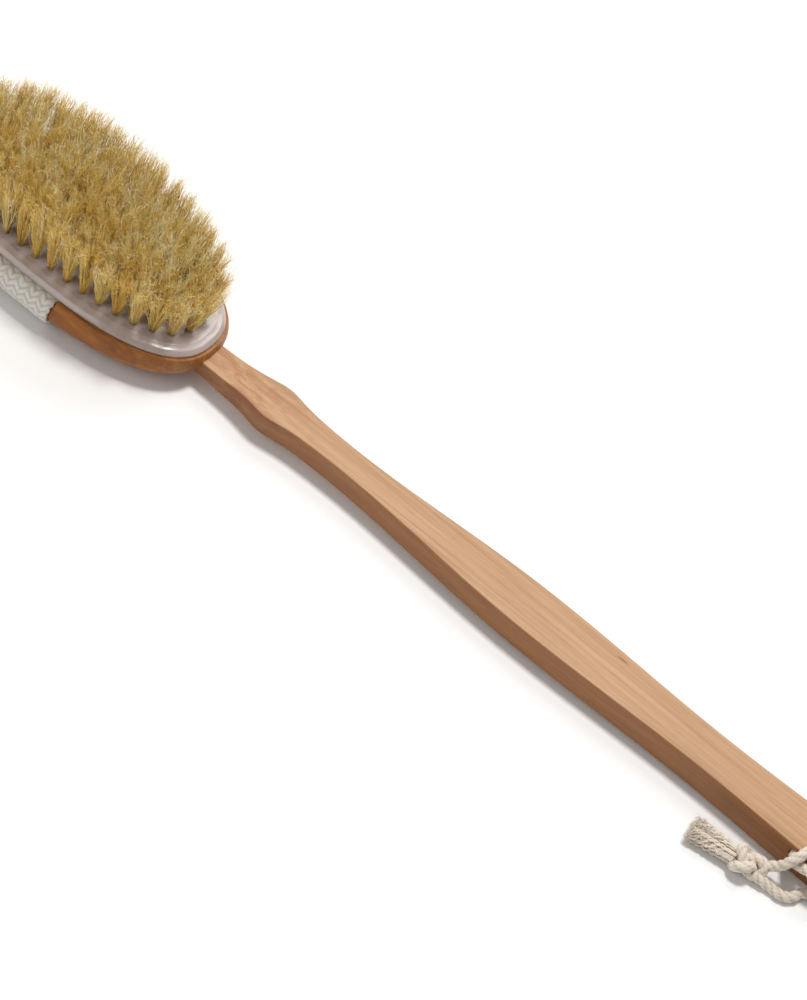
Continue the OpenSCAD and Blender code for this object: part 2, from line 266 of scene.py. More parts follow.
def oval(a, b, count=256):
    """Evenly spaced points of the head's outline, as X and Y from its middle."""
    t = np.linspace(0, 2 * np.pi, 1441)
    c, s = np.cos(t), np.sin(t)
    x = a * np.sign(c) * np.abs(c) ** (2 / OVAL_N)
    y = b * np.sign(s) * np.abs(s) ** (2 / OVAL_N)
    return flow(np.stack([x, y], -1), count + 1)[:-1]


def oval_normal(p, a, b):
    """Outward directions of the outline at its points."""
    g = np.sign(p) * np.abs(p / (a, b)) ** (OVAL_N - 1) / (a, b)
    return g / np.linalg.norm(g, axis=1)[:, None]


def oval_ring(grow_x, grow_y, z, count=256):
    """The plate's outline, grown by so many mm along X and Y, at a height."""
    p = oval(PLATE_A + grow_x * MM, PLATE_B + grow_y * MM, count)
    return np.column_stack([p[:, 0] + HEAD_X, p[:, 1], np.full(count, z)])


# ---------------------------------------------------------------- materials

class Shader:
    """A node material with short ways to add textures to it."""

    def __init__(self, name, colour, roughness):
        self.mat = bpy.data.materials.new(name)
        self.mat.use_nodes = True
        self.tree = self.mat.node_tree
        self.bsdf = self.tree.nodes["Principled BSDF"]
        self.bsdf.inputs["Base Color"].default_value = (*colour, 1)
        self.bsdf.inputs["Roughness"].default_value = roughness
        self.mat.diffuse_color = (*colour, 1)
        coordinates = self.add("ShaderNodeTexCoord")
        self.place = coordinates.outputs["Object"]
        self.facing = coordinates.outputs["Normal"]

    def add(self, kind, **values):
        node = self.tree.nodes.new(kind)
        for key, value in values.items():
            setattr(node, key, value)
        return node

    def link(self, source, target):
        self.tree.links.new(source, target)

    def stretched(self, scale, shift=(0, 0, 0)):
        """Object coordinates in metres, multiplied along each axis and then shifted."""
        node = self.add("ShaderNodeMapping")
        node.inputs["Location"].default_value = shift
        node.inputs["Scale"].default_value = scale
        self.link(self.place, node.inputs["Vector"])
        return node.outputs["Vector"]

    def noise(self, scale, detail=4, roughness=0.55, distortion=0.0):
        node = self.add("ShaderNodeTexNoise")
        node.inputs["Scale"].default_value = 1.0
        node.inputs["Detail"].default_value = detail
        node.inputs["Roughness"].default_value = roughness
        node.inputs["Distortion"].default_value = distortion
        self.link(self.stretched(scale), node.inputs["Vector"])
        return node.outputs["Fac"]

    def ramp(self, source, stops):
        node = self.add("ShaderNodeValToRGB")
        while len(node.color_ramp.elements) < len(stops):
            node.color_ramp.elements.new(0.5)
        for element, (at, colour) in zip(node.color_ramp.elements, stops):
            element.position = at
            element.color = (*colour, 1)
        self.link(source, node.inputs["Fac"])
        return node.outputs["Color"]

    def grey(self, source, low, high, to_low=0.0, to_high=1.0):
        node = self.add("ShaderNodeMapRange")
        for socket, value in zip(("From Min", "From Max", "To Min", "To Max"), (low, high, to_low, to_high)):
            node.inputs[socket].default_value = value
        self.link(source, node.inputs["Value"])
        return node.outputs["Result"]

    def sum(self, a, b, operation="ADD"):
        node = self.add("ShaderNodeMath", operation=operation)
        for socket, value in zip(node.inputs, (a, b)):
            if isinstance(value, (int, float)):
                socket.default_value = value
            else:
                self.link(value, socket)
        return node.outputs["Value"]

    def times(self, a, b):
        return self.sum(a, b, "MULTIPLY")

    def axis(self, vector, name):
        """One axis of a vector."""
        node = self.add("ShaderNodeSeparateXYZ")
        self.link(vector, node.inputs["Vector"])
        return node.outputs[name]

    def mix(self, share, a, b, blend="MIX"):
        node = self.add("ShaderNodeMix", data_type="RGBA", blend_type=blend)
        for socket, value in ((node.inputs["Factor"], share), (node.inputs["A"], a), (node.inputs["B"], b)):
            if isinstance(value, (int, float)):
                socket.default_value = value
            elif isinstance(value, tuple):
                socket.default_value = (*value, 1)
            else:
                self.link(value, socket)
        return [output for output in node.outputs if output.type == "RGBA"][0]

    def attribute(self, name):
        return self.add("ShaderNodeAttribute", attribute_name=name).outputs["Fac"]

    def colour(self, source):
        self.link(source, self.bsdf.inputs["Base Color"])

    def rough(self, source, low, high):
        self.link(self.grey(source, 0.3, 0.7, low, high), self.bsdf.inputs["Roughness"])

    def bump(self, source, height, strength=1.0):
        node = self.add("ShaderNodeBump")
        node.inputs["Distance"].default_value = height
        node.inputs["Strength"].default_value = strength
        self.link(source, node.inputs["Height"])
        self.link(node.outputs["Normal"], self.bsdf.inputs["Normal"])

    def set(self, **values):
        for key, value in values.items():
            self.bsdf.inputs[key.replace("_", " ")].default_value = value


def wood_material(name, light, middle, dark, blotch, blotch_from, blotch_to, roughness, painted_side_shade,
                  mark=None):
    """Wood with its grain along X: fine streaks, broad bands, small pores, blotches over one stretch of it,
    painted shade on the sides that face along Y, and one small dark fleck."""
    s = Shader(name, middle, roughness)
    streaks = s.noise((26, 900, 620), 6, 0.62)
    bands = s.noise((5, 210, 150), 3, 0.5, 0.6)
    tone = s.sum(s.times(streaks, 0.55), s.times(bands, 0.45))
    base = s.ramp(tone, [(0.35, dark), (0.49, middle), (0.63, light)])
    pores = s.grey(s.noise((170, 2600, 2600), 2), 0.66, 0.72)
    base = s.mix(s.times(pores, 0.35), base, dark)
    stretch = s.grey(s.axis(s.place, "X"), blotch_from, blotch_to)
    spots = s.grey(s.noise((70, 190, 190), 4, 0.65, 1.2), 0.44, 0.62, 0.0, 0.75)
    base = s.mix(s.times(spots, stretch), base, blotch)
    if mark:
        away = s.add("ShaderNodeVectorMath", operation="LENGTH")
        s.link(s.stretched(MARK_SCALE, [-c * k for c, k in zip(mark, MARK_SCALE)]), away.inputs[0])
        base = s.mix(s.grey(away.outputs["Value"], 0.5, 1.3, 0.75, 0.0), base, MARK_COLOUR)
    # Painted shade: faces that point along Y, across the brush, get the darker side colour multiplied in.
    side = s.grey(s.sum(s.axis(s.facing, "Y"), 0, "ABSOLUTE"), 0.4, 0.95, 0.0, 0.85)
    s.colour(s.mix(side, base, s.mix(1.0, base, painted_side_shade, "MULTIPLY")))
    s.rough(streaks, roughness - 0.07, roughness + 0.1)
    s.bump(s.sum(streaks, s.times(pores, -0.8)), 0.00008, 0.6)
    s.set(Coat_Weight=0.05, Coat_Roughness=0.16, Specular_IOR_Level=0.32)
    return s.mat


def plate_material():
    """Milky translucent plastic with a faint moulded texture and painted shade on its sloping shoulder."""
    s = Shader("milky_plastic", (0.64, 0.55, 0.52), 0.17)
    clouds = s.noise((60, 60, 60), 3)
    base = s.ramp(clouds, [(0.3, (0.48, 0.40, 0.36)), (0.7, (0.57, 0.495, 0.48))])
    # Painted shade: faces that tilt away from straight up, on the shoulder, are mixed towards a dark brown.
    thin = s.grey(s.axis(s.facing, "Z"), 0.96, 0.70, 0.0, 0.6)
    s.colour(s.mix(thin, base, (0.36, 0.27, 0.22)))
    ripple = s.noise((150, 150, 150), 2, 0.4)
    s.rough(clouds, 0.13, 0.22)
    s.bump(s.sum(ripple, s.times(s.noise((1400, 1400, 1400), 2), 0.12)), 0.0002, 0.5)
    s.set(Subsurface_Weight=0.5, Subsurface_Radius=(0.004, 0.003, 0.003), Subsurface_Scale=1.0,
          Specular_IOR_Level=0.5, Coat_Weight=0.6, Coat_Roughness=0.05)
    return s.mat


def bristle_material():
    """Natural hair: each has its own tone, with painted shade towards the root and a painted highlight
    towards the tip.
    """
    s = Shader("bristle_hair", (0.55, 0.42, 0.22), 0.45)
    tone = s.attribute("hair_tone")
    along = s.attribute("hair_along")
    # Painted light: these colours are set brighter and more saturated than the hair's own, to make up for the
    # shade between hairs.
    body = s.ramp(tone, [(0.0, (0.03, 0.02, 0.012)), (0.02, (0.05, 0.03, 0.02)), (0.03, (0.60, 0.30, 0.04)),
                         (0.45, (0.92, 0.60, 0.14)), (0.85, (0.98, 0.77, 0.30)), (1.0, (0.99, 0.89, 0.56))])
    # Painted shade and highlight: the tone is multiplied by a colour that goes from dark at the root to past
    # white at the tip.
    shade = s.ramp(along, [(0.0, (0.62, 0.50, 0.36)), (0.25, (0.95, 0.88, 0.76)), (0.7, (1, 1, 1)),
                           (1.0, (1.22, 1.35, 1.72))])
    s.colour(s.mix(1.0, body, shade, "MULTIPLY"))
    flecks = s.noise((900, 900, 300), 2)
    s.rough(flecks, 0.38, 0.55)
    s.bump(flecks, 0.00002, 0.4)
    s.set(Specular_IOR_Level=0.2, Subsurface_Weight=0.35, Subsurface_Radius=(0.0006, 0.0004, 0.0002),
          Subsurface_Scale=1.0)
    return s.mat


def cotton_material(name, light, dark, hollow):
    """Matt off-white cotton: short fibres, faint stains, painted shade in the hollows between strands, a soft
    sheen.
    """
    s = Shader(name, light, 0.9)
    fibres = s.noise((1500, 1500, 1500), 4, 0.7)
    stains = s.noise((70, 70, 70), 3)
    base = s.ramp(fibres, [(0.3, dark), (0.62, light)])
    base = s.mix(s.grey(stains, 0.45, 0.7, 0.0, 0.25), base, (0.68, 0.58, 0.42))
    # Painted shade: the hollow colour is mixed in where the mesh's hollow value is high.
    s.colour(s.mix(s.times(s.attribute("hollow"), 0.8), base, hollow))
    s.rough(fibres, 0.82, 0.96)
    s.bump(fibres, 0.00012, 0.8)
    s.set(Sheen_Weight=0.35, Sheen_Roughness=0.5, Specular_IOR_Level=0.25)
    return s.mat


def metal_material():
    """Drawn steel wire, for the pieces that hold the tufts and the strap."""
    s = Shader("drawn_wire", (0.62, 0.62, 0.64), 0.32)
    lines = s.noise((400, 400, 6000), 3)
    s.colour(s.ramp(lines, [(0.3, (0.52, 0.52, 0.54)), (0.7, (0.70, 0.70, 0.72))]))
    s.rough(lines, 0.25, 0.42)
    s.bump(lines, 0.00002, 0.5)
    s.set(Metallic=1.0)
    return s.mat


def pin_material():
    """Moulded plastic, for the pins under the plate."""
    s = Shader("moulded_pin", (0.60, 0.58, 0.57), 0.5)
    grain = s.noise((2500, 2500, 2500), 3)
    s.colour(s.ramp(grain, [(0.3, (0.54, 0.52, 0.51)), (0.7, (0.64, 0.62, 0.61))]))
    s.rough(grain, 0.45, 0.6)
    s.bump(grain, 0.00003, 0.5)
    return s.mat


def paint(ob, material):
    """Gives an object one material, on its mesh and on every slot that it has."""
    if not ob.material_slots:
        ob.data.materials.append(material)
    for slot in ob.material_slots:
        slot.material = material


def place(ob, body, slot, material, *nodes):
    """Finishes a piece: its material, the body it moves with and the CAD nodes it stands for; its slot is not
    used.
    """
    paint(ob, material)
    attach(ob, body)
    if nodes:
        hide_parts(*nodes)
    return ob


# ---------------------------------------------------------------- camera, light and floor

def make_camera():
    """A camera that looks at the target from an azimuth and an elevation, rolled about its own axis."""
    azimuth, elevation, roll = (math.radians(v) for v in (VIEW_AZIMUTH, VIEW_ELEVATION, VIEW_ROLL))
    back = Vector((math.sin(azimuth) * math.cos(elevation), -math.cos(azimuth) * math.cos(elevation),
                   math.sin(elevation)))
    level = Vector((math.cos(azimuth), math.sin(azimuth), 0))
    right = level * math.cos(roll) + back.cross(level) * math.sin(roll)
    turn = Matrix((right, back.cross(right), back)).transposed()
    data = bpy.data.cameras.new("camera")
    data.sensor_fit = "VERTICAL"
    data.sensor_height = 24
    data.lens = LENS
    data.clip_start = 0.01
    camera = bpy.data.objects.new("camera", data)
    bpy.context.scene.collection.objects.link(camera)
    camera.matrix_world = Matrix.Translation(VIEW_TARGET + back * VIEW_DISTANCE) @ turn.to_4x4()
    bpy.context.scene.camera = camera


def area_light(name, at, target, size, power, colour=(1, 1, 1)):
    """A rectangular light that faces its target."""
    data = bpy.data.lights.new(name, "AREA")
    data.shape = "RECTANGLE"
    data.size, data.size_y = size
    data.energy = power
    data.color = colour
    light = bpy.data.objects.new(name, data)
    bpy.context.scene.collection.objects.link(light)
    light.location = at
    light.rotation_euler = (Vector(target) - Vector(at)).to_track_quat("-Z", "Y").to_euler()


def make_studio():
    """A small high light for the shadow, two wide soft ones, and a white room."""
    area_light("key", (-0.08, 0.33, 1.76), (0, 0, 0), (0.32, 0.32), 21, (1, 0.99, 0.97))
    area_light("back", (-0.25, 1.3, 1.45), (0, 0, 0), (1.4, 1.1), 13)
    area_light("fill", (-0.9, -1.35, 1.25), (0, 0, 0), (1.5, 1.0), 9.5, (1, 0.99, 0.98))
    world = bpy.data.worlds.new("studio")
    world.use_nodes = True
    world.node_tree.nodes["Background"].inputs["Color"].default_value = (1, 1, 1, 1)
    world.node_tree.nodes["Background"].inputs["Strength"].default_value = ROOM_LIGHT
    bpy.context.scene.world = world
    bpy.context.scene.view_settings.view_transform = "Standard"


def make_floor():
    """A wide sheet of white paper."""
    steps = FLOOR_STEPS
    side = np.linspace(-FLOOR_REACH, FLOOR_REACH, steps)
    x, y = np.meshgrid(side, side, indexing="ij")
    points = np.stack([x.ravel(), y.ravel(), np.zeros(x.size)], -1)
    faces = [[i * steps + j, (i + 1) * steps + j, (i + 1) * steps + j + 1, i * steps + j + 1]
             for i in range(steps - 1) for j in range(steps - 1)]
    floor = mesh_object("floor", points, faces)
    s = Shader("paper_floor", (0.9, 0.9, 0.9), 0.7)
    s.colour(s.ramp(s.noise((3, 3, 3), 2), [(0.3, (0.89, 0.89, 0.895)), (0.7, (0.92, 0.92, 0.92))]))
    s.set(Specular_IOR_Level=0.2)
    paint(floor, s.mat)


# ---------------------------------------------------------------- cord, knot and tails

def make_cord(cotton):
    line = curve_through(np.array(CORD_ROUTE) * MM, ROPE_STEP)
    rings, hollow = rope(line, CORD_D / 2)
    cord = loft("cord_loop", rings)
    give_hollow(cord, hollow)
    knot = make_knot()
    tails = make_tails()
    place(cord, "handle", "cord_cotton", cotton, "hang_cord")
    place(knot, "handle", "cord_cotton", cotton, "cord_knot")
    place(tails, "handle", "cord_cotton", cotton, "cord_tails")


def directions(start, end):
    """How far apart two points are, and the directions from one to the other, beside that and up from it."""
    size = np.linalg.norm(end - start)
    axis = (end - start) / size
    aside = np.cross(axis, (0, 0, 1))
    aside /= np.linalg.norm(aside)
    return size, axis, aside, np.cross(aside, axis)


def make_knot():
    """An overhand knot drawn tight: the cord crosses over and under itself three times."""
    _, axis, aside, lift = directions(KNOT_START, KNOT_END)
    t = np.linspace(0, KNOT_TURN, 90)
    along = KNOT_SIZE[0] * (2 * np.cos(2 * t) - np.cos(t))
    beside = KNOT_SIZE[1] * (2 * np.sin(2 * t) + np.sin(t))
    above = KNOT_SIZE[2] * np.sin(3 * t)
    middle = (KNOT_START + KNOT_END) / 2
    line = middle + np.outer(along, axis) + np.outer(beside, aside) + np.outer(above, lift)
    rings, hollow = rope(curve_through(line * MM, ROPE_STEP), KNOT_R * MM)
    rings[..., 2] = np.maximum(rings[..., 2], KNOT_CLEAR * MM)
    knot = loft("cord_knot_turns", rings)
    give_hollow(knot, hollow)
    return knot


def tail_spot(section, tail, angle, share):
    """A place across a tail, at an angle and a share of its radius, as how far beside its axis and up."""
    middle, half_w, half_h, up = section
    return middle * tail + half_w * share * math.cos(angle), half_h * share * math.sin(angle) + up


def make_tails():
    """Two cut ends of the cord, untwisted into wavy yarns, with fine fuzz at the tips."""
    points, faces, hollows = [], [], []
    begun = 0
    size, axis, aside, lift = directions(KNOT_START, TAIL_END)
    t = np.linspace(-0.2, 1, 26)

    def yarn(root, tip, radius, curl, sides, reach):
        nonlocal begun
        phase, beat = RANDOM.random() * 6.3, 4 + 2 * RANDOM.random()
        wave = curl * np.clip(t, 0, 1) ** 0.35
        turn = beat * 2 * np.pi * t + phase
        part = np.clip(t, 0, 1) ** 0.8
        y = root[0] + (tip[0] - root[0]) * part + wave * np.cos(turn)
        z = root[1] + (tip[1] - root[1]) * part + wave * np.sin(turn)
        line = (KNOT_START + np.outer(reach * size * t, axis) + np.outer(y, aside) + np.outer(z, lift)) * MM
        rings, hollow = rope(line, radius * MM, 2, 1.6 * MM, sides, 0.3)
        faces.extend(ring_faces(rings.shape[0], rings.shape[1], begun))
        points.append(rings.reshape(-1, 3))
        hollows.append(hollow.ravel())
        begun += rings.shape[0] * rings.shape[1]

    for tail in (-1, 1):
        for _ in range(YARNS):
            a, r = RANDOM.random() * 2 * np.pi, math.sqrt(RANDOM.random())
            root, tip = tail_spot(TAIL_ROOT, tail, a, r), tail_spot(TAIL_TIP, tail, a, r)
            yarn(root, tip, YARN_R, YARN_CURL, YARN_SIDES, 0.84 + 0.16 * RANDOM.random())
        for _ in range(FUZZ):
            a, r = RANDOM.random() * 2 * np.pi, 0.5 + 0.7 * RANDOM.random()
            root, tip = (FUZZ_ROOT * tail, 0), tail_spot(FUZZ_TIP, tail, a, r)
            yarn(root, tip, FUZZ_R, FUZZ_CURL, FUZZ_SIDES, 0.88 + 0.2 * RANDOM.random())
    points = np.vstack(points)
    points[:, 2] = np.maximum(points[:, 2], TAIL_CLEAR * MM)
    tails = mesh_object("cord_frayed_ends", points, faces)
    give_hollow(tails, np.concatenate(hollows) * 0.6)
    return tails


# ---------------------------------------------------------------- head

def make_wood_block(material):
    """The oval block, less the handle's socket and the strap's two seats, cut by boxes that reach past it."""
    profile = flow(WOOD_RINGS, 44, 3)
    rings = [oval_ring(x, y, z * MM) for z, x, y in profile]
    block = loft("head_block", rings)
    head = HEAD_X / MM
    socket = box_solid((head + NECK_X - TONGUE_LEN - 0.2, -TONGUE_W / 2 - FIT, TONGUE_Z - TONGUE_T - FIT),
                       (head + 80, TONGUE_W / 2 + FIT, TONGUE_Z + FIT))
    half = STRAP_W / 2 / MM + 0.2
    seats = [box_solid((head - half, low, SEAT_Z), (head + half, high, 20))
             for low, high in ((-60, -SEAT_Y), (SEAT_Y, 60))]
    cut(block, [socket] + seats)
    place(block, "head", "head_wood", material, "wood_block")


def tuft_rows():
    """Places and outward directions of the tufts of each row, from the head's middle."""
    rows = []
    for row in range(3):
        a = PLATE_A - (TUFT_MARGIN + TUFT_END_GAP + row * TUFT_PITCH) * MM
        b = PLATE_B - (TUFT_MARGIN + row * TUFT_PITCH) * MM
        fine = oval(a, b, 1440)
        count = round(run_along(fine)[-1] / (TUFT_PITCH * MM))
        p = fine[((np.arange(count) + 0.5) * len(fine) / count).astype(int)]
        rows.append((p, oval_normal(p, a, b)))
    half = PLATE_A / MM - TUFT_MARGIN - TUFT_END_GAP - 3 * TUFT_PITCH - CENTRE_GAP
    count = 1 + 2 * int(half // TUFT_PITCH)
    p = np.stack([np.linspace(-half, half, count) * MM, np.zeros(count)], -1)
    rows.append((p, np.zeros_like(p)))
    return rows


def make_plate(material, rows):
    """The plate, with a low collar round each tuft and a shoulder that dips between the outer tufts."""
    shoulder = flow(PLATE_RINGS, 34, 1)
    top, brink = PLATE_RINGS[-1]
    inner = [(top, inset) for inset in np.linspace(brink, PLATE_B / MM - 0.4, 60)[1:]]
    rings = np.array([oval_ring(-inset, -inset, PLATE_Z + z * MM, 512) for z, inset in [*shoulder, *inner]])
    flat = rings.reshape(-1, 3)
    tufts = np.vstack([p for p, _ in rows]) + (HEAD_X, 0)
    near = np.full(len(flat), 1.0)
    for x, y in tufts:
        near = np.minimum(near, np.hypot(flat[:, 0] - x, flat[:, 1] - y))
    on_top = np.clip((flat[:, 2] - PLATE_Z) / MM - 2.2, 0, 1)
    collar = COLLAR_H * MM * np.exp(-((near - COLLAR_R * MM) / (COLLAR_W * MM)) ** 2)
    dip = -DIP * MM * np.clip((near - DIP_FROM * MM) / (DIP_OVER * MM), 0, 1)
    flat[:, 2] += on_top * (collar + dip)
    plate = loft("milky_plate", rings)
    place(plate, "head", "plate_plastic", material, "bristle_plate")


def hair_mesh(name, lines, radii, tone, along_from):
    """One mesh of three-sided hairs along the lines, with each hair's tone and how far up it a point is."""
    hairs, count, _ = lines.shape
    radii = np.broadcast_to(np.array(radii) * MM, (hairs, count))
    tone = np.broadcast_to(tone[:, None], (hairs, count))
    along = np.broadcast_to(np.linspace(along_from, 1, count), (hairs, count))
    ahead = np.gradient(lines, axis=1)
    ahead /= np.linalg.norm(ahead, axis=2)[..., None]
    across = np.cross(ahead, (1.0, 0.3, 0.0))
    across /= np.linalg.norm(across, axis=2)[..., None]
    up = np.cross(ahead, across)
    turn = np.arange(3) * 2 * np.pi / 3
    points = (lines[:, :, None] + radii[..., None, None]
              * (np.cos(turn)[:, None] * across[:, :, None] + np.sin(turn)[:, None] * up[:, :, None]))
    h, i, j = np.meshgrid(np.arange(hairs), np.arange(count - 1), np.arange(3), indexing="ij")
    base = (h * count + i) * 3
    quads = np.stack([base + j, base + (j + 1) % 3, base + 3 + (j + 1) % 3, base + 3 + j], -1).reshape(-1, 4)
    mesh = bpy.data.meshes.new(name)
    mesh.vertices.add(hairs * count * 3)
    mesh.vertices.foreach_set("co", points.ravel())
    mesh.loops.add(quads.size)
    mesh.loops.foreach_set("vertex_index", quads.ravel())
    mesh.polygons.add(len(quads))
    mesh.polygons.foreach_set("loop_start", np.arange(len(quads)) * 4)
    mesh.update(calc_edges=True)
    mesh.polygons.foreach_set("use_smooth", np.ones(len(quads), bool))
    for label, values in (("hair_tone", tone), ("hair_along", along)):
        data = mesh.attributes.new(label, "FLOAT", "POINT")
        data.data.foreach_set("value", np.repeat(values.ravel(), 3).astype(np.float32))
    mesh.validate()
    ob = bpy.data.objects.new(name, mesh)
    bpy.context.scene.collection.objects.link(ob)
    return ob


def tuft_hairs(centre, outward, lean, hairs, steps):
    """One tuft's hairs, bundled at the plate and fanning out into clumps, and the clump of each."""
    a = RANDOM.random(hairs) * 2 * np.pi
    r = np.sqrt(RANDOM.random(hairs))
    disc = np.stack([r * np.cos(a), r * np.sin(a)], -1)
    turn, reach = RANDOM.random(CLUMPS) * 2 * np.pi, np.sqrt(RANDOM.random(CLUMPS))
    clumps = np.stack([reach * np.cos(turn), reach * np.sin(turn)], -1)
    clump = np.argmin(np.linalg.norm(disc[:, None] - clumps[None], axis=2), axis=1)
    drift = RANDOM.normal(0, DRIFT, (hairs, 2))
    stray = RANDOM.random(hairs) < STRAY_SHARE
    drift[stray] += RANDOM.normal(0, STRAY_DRIFT, (stray.sum(), 2))
    trim = BRISTLE_H - TRIM_DROP * ((centre[0] - TRIM_PEAK * MM) / PLATE_A) ** 2
    uneven = RANDOM.normal(0, HAIR_UNEVEN, hairs)
    height = trim + 0.6 - TIP_ROUND * r**2 + uneven + RANDOM.normal(0, TUFT_UNEVEN)
    shorter = SHORTER_BY * (RANDOM.random(hairs) < SHORT_SHARE) * RANDOM.random(hairs)
    height = np.clip(height - shorter, SHORTEST, trim + 1.6)
    lean_out = outward * np.tan(np.radians(lean))
    t = np.linspace(0, 1, steps)[None, :, None]
    sway = RANDOM.normal(0, SWAY, (hairs, 1, 2)) * np.sin(np.pi * t)
    curl = RANDOM.normal(0, CURL, (hairs, steps, 2)) * t**2
    gather, open_out = CLUMPING * t**2, t**FAN_EASE
    spread = FAN_R * ((1 - gather) * disc[:, None] + gather * clumps[clump][:, None]) + drift[:, None]
    flat = disc[:, None] * ROOT_R * (1 - open_out) + spread * open_out
    flat = flat + lean_out * height[:, None, None] * t
    z = np.broadcast_to(height[:, None] * t[..., 0], (hairs, steps))
    line = np.concatenate([flat + sway * t + curl, z[..., None]], -1) * MM
    return line + np.array([HEAD_X + centre[0], centre[1], PLATE_TOP - 0.3 * MM]), clump


def tuft_wisps(line, tone, wisps, steps):
    """Short split ends that leave a tuft's hairs in every direction, most of them near the tips."""
    parent = RANDOM.integers(0, len(line), wisps)
    joint = np.where(RANDOM.random(wisps) < FORK_SHARE, FORK_HIGH, RANDOM.integers(1, FORK_HIGH, wisps))
    start, end = line[parent, joint - 1], line[parent, joint]
    t = np.linspace(0.15, 1.0, steps)[None, :, None]
    go = (end - start) * 0.5
    start = start + (end - start) * RANDOM.random((wisps, 1))
    fray = RANDOM.normal(0, FRAY * MM, (wisps, 1, 3)) * t**1.2 * (1, 1, 0.5)
    fray += RANDOM.normal(0, 0.2 * MM, (wisps, steps, 3))
    lines = start[:, None] + go[:, None] * t + fray
    lines[..., 2] = np.minimum(lines[..., 2], PLATE_TOP + (BRISTLE_H + 1.4) * MM)
    return lines, np.where(tone[parent] > 0.02, tone[parent] + 0.14, 0)


def make_bristles(material, rows):
    """Two meshes for each row of tufts: its hairs, and their split ends."""
    names = ("tufts_outer", "tufts_middle", "tufts_inner", "tufts_centre")
    for node, (places, outward), lean in zip(names, rows, ROW_LEANS):
        hairs, tones, wisps, wisp_tones = [], [], [], []
        for centre, out in zip(places, outward):
            line, clump = tuft_hairs(centre, out, lean, HAIRS, len(HAIR_RADII))
            shade = RANDOM.normal(TONE_MIDDLE, TONE_CLUMP, CLUMPS)[clump]
            tone = np.clip(RANDOM.normal(shade, TONE_HAIR) + RANDOM.normal(0, 0.05), 0.05, 1)
            tone[RANDOM.random(HAIRS) < BLACK_SHARE] = 0.0
            split, split_tone = tuft_wisps(line, tone, WISPS, len(WISP_RADII))
            for pile, part in ((hairs, line), (tones, tone), (wisps, split), (wisp_tones, split_tone)):
                pile.append(part)
        full = hair_mesh(node.replace("tufts", "bristles"), np.vstack(hairs), HAIR_RADII,
                         np.concatenate(tones), 0.0)
        # The split ends start high on the painted ramp, so they carry the painted highlight.
        thin = hair_mesh(node.replace("tufts", "bristle_tips"), np.vstack(wisps), WISP_RADII,
                         np.concatenate(wisp_tones), 0.85)
        place(full, "head", "bristle", material, node)
        place(thin, "head", "bristle", material)


def strap_path():
    """The strap's middle line in Y and Z, in mm: under the plate's edge, round the wood and back."""
    half = [(PLATE_B / MM + grow_y, z) for z, _, grow_y in WOOD_RINGS]
    wrap = STRAP_GAP + STRAP_T / 2
    side = [(y + wrap, z) for y, z in half[:3:-1]]
    low = [(half[3][0] + 0.75, half[3][1] - 0.55), (half[2][0] + 0.3, half[2][1] - 0.85),
           (half[1][0], half[1][1] - 0.95), (half[0][0], 0.86), (0, 0.86)]
    seat = [(SEAT_Y, SEATED_Z), (SEAT_Y + 5, SEATED_Z), (PLATE_B / MM + 1.0, SEATED_Z - 0.1)]
    one = seat + side[1:] + low
    other = [(-y, z) for y, z in one[-2::-1]]
    return np.array(one + other)


def make_strap(cotton):
    """Knitted elastic: a thick band with rows of slanted stitches and slightly ragged edges."""
    line = flow(flow(strap_path(), 160, 6), 620)
    ahead = np.gradient(line, axis=0)
    ahead /= np.linalg.norm(ahead, axis=1)[:, None]
    normal = np.stack([-ahead[:, 1], ahead[:, 0]], -1)
    outward = normal * np.where((normal * (line - (0, 12))).sum(1) < 0, -1, 1)[:, None]
    run = run_along(line)
    across = np.linspace(-1, 1, 81)
    inner = np.linspace(1, -1, 9)
    saw = np.abs((run / STITCH_LEN) % 1 - 0.5) * 2
    wide = (STRAP_W / 2 / MM - 0.1 - RAGGED * saw**1.5)[:, None]
    u = across[None] * wide
    zigzag = np.abs((u / STITCH_COLUMN) % 1 - 0.5) * 2
    phase = run[:, None] / STITCH_LEN + 0.8 * zigzag + 0.04 * RANDOM.normal(0, 1, (len(run), 1))
    stitch = 0.5 + 0.5 * np.cos(2 * np.pi * phase)
    yarns = 0.5 + 0.5 * np.cos(2 * np.pi * 3 * phase)
    gutter = np.abs(2 * zigzag - 1) ** 6
    knit = STITCH_H * stitch**0.5 * (1 - 0.6 * gutter) + 0.06 * yarns
    edge = np.sqrt(np.clip(1 - (np.clip(np.abs(across) - 0.94, 0, 1) / 0.062) ** 2, 0.04, 1))[None]
    top = (STRAP_T / 2 - STITCH_H - 0.06 + knit) * edge
    under = np.broadcast_to(0.1 - STRAP_T / 2, (len(run), len(inner)))
    ring_u = np.concatenate([u, inner[None] * (wide - 0.3)], 1)
    ring_h = np.concatenate([top, under], 1)
    y = line[:, 0, None] + outward[:, 0, None] * ring_h
    z = np.maximum(line[:, 1, None] + outward[:, 1, None] * ring_h, 0.02)
    strap = loft("knitted_strap", np.stack([HEAD_X / MM + ring_u, y, z], -1) * MM)
    # Painted shade in the stitches' valleys and gutters, stored for the material.
    painted_stitch_shade = np.clip((1 - stitch) ** 2 * 0.8 + 0.25 * (1 - yarns) + 0.4 * gutter, 0, 1)
    give_hollow(strap, np.concatenate([painted_stitch_shade, np.zeros(under.shape)], 1))
    place(strap, "head", "strap_webbing", cotton, "hand_strap")


# ---------------------------------------------------------------- handle

def ease(x, x0, x1, v0, v1):
    """A value that goes smoothly from v0 at x0 to v1 at x1."""
    t = np.clip((x - x0) / (x1 - x0), 0, 1)
    return v0 + (v1 - v0) * (1 - np.cos(np.pi * t)) / 2


